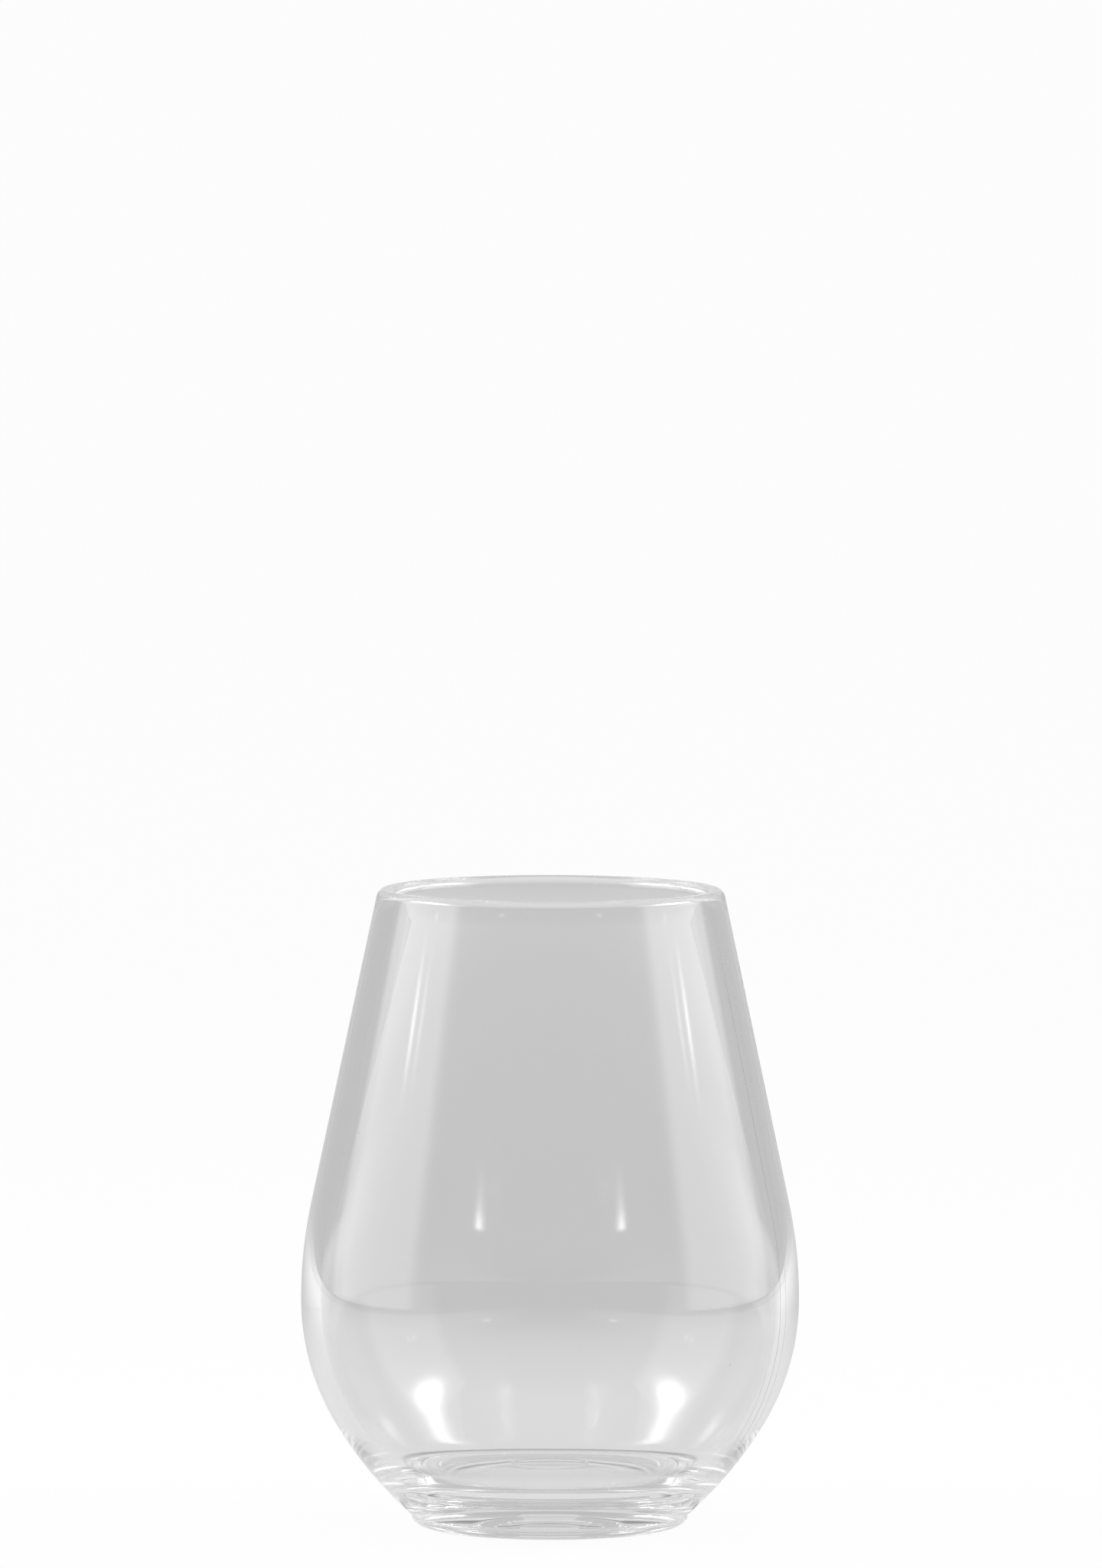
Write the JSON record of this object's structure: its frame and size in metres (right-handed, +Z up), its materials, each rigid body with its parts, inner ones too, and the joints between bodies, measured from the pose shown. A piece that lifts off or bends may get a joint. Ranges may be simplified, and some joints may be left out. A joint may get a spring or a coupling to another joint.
{
  "type": "stemless wine glass",
  "caption": "Clear round drinking glass with a tapering wall, a wide belly, a rounded lip and a thick base bonded onto a low ring foot; it stands without a stem.",
  "frame": {"origin": "middle of the ring that the foot stands on, at the height of the table", "axes": "+Z up along the axis of the round glass; X and Y lie on the table, and the glass is alike all round"},
  "size_m": [0.0888, 0.0888, 0.114],
  "materials": {
    "bowl_plastic": "clear, polished",
    "foot_plastic": "clear, polished"
  },
  "bodies": {
    "root": {"bowl": "bowl_plastic", "foot": "foot_plastic"}
  },
  "joints": []
}
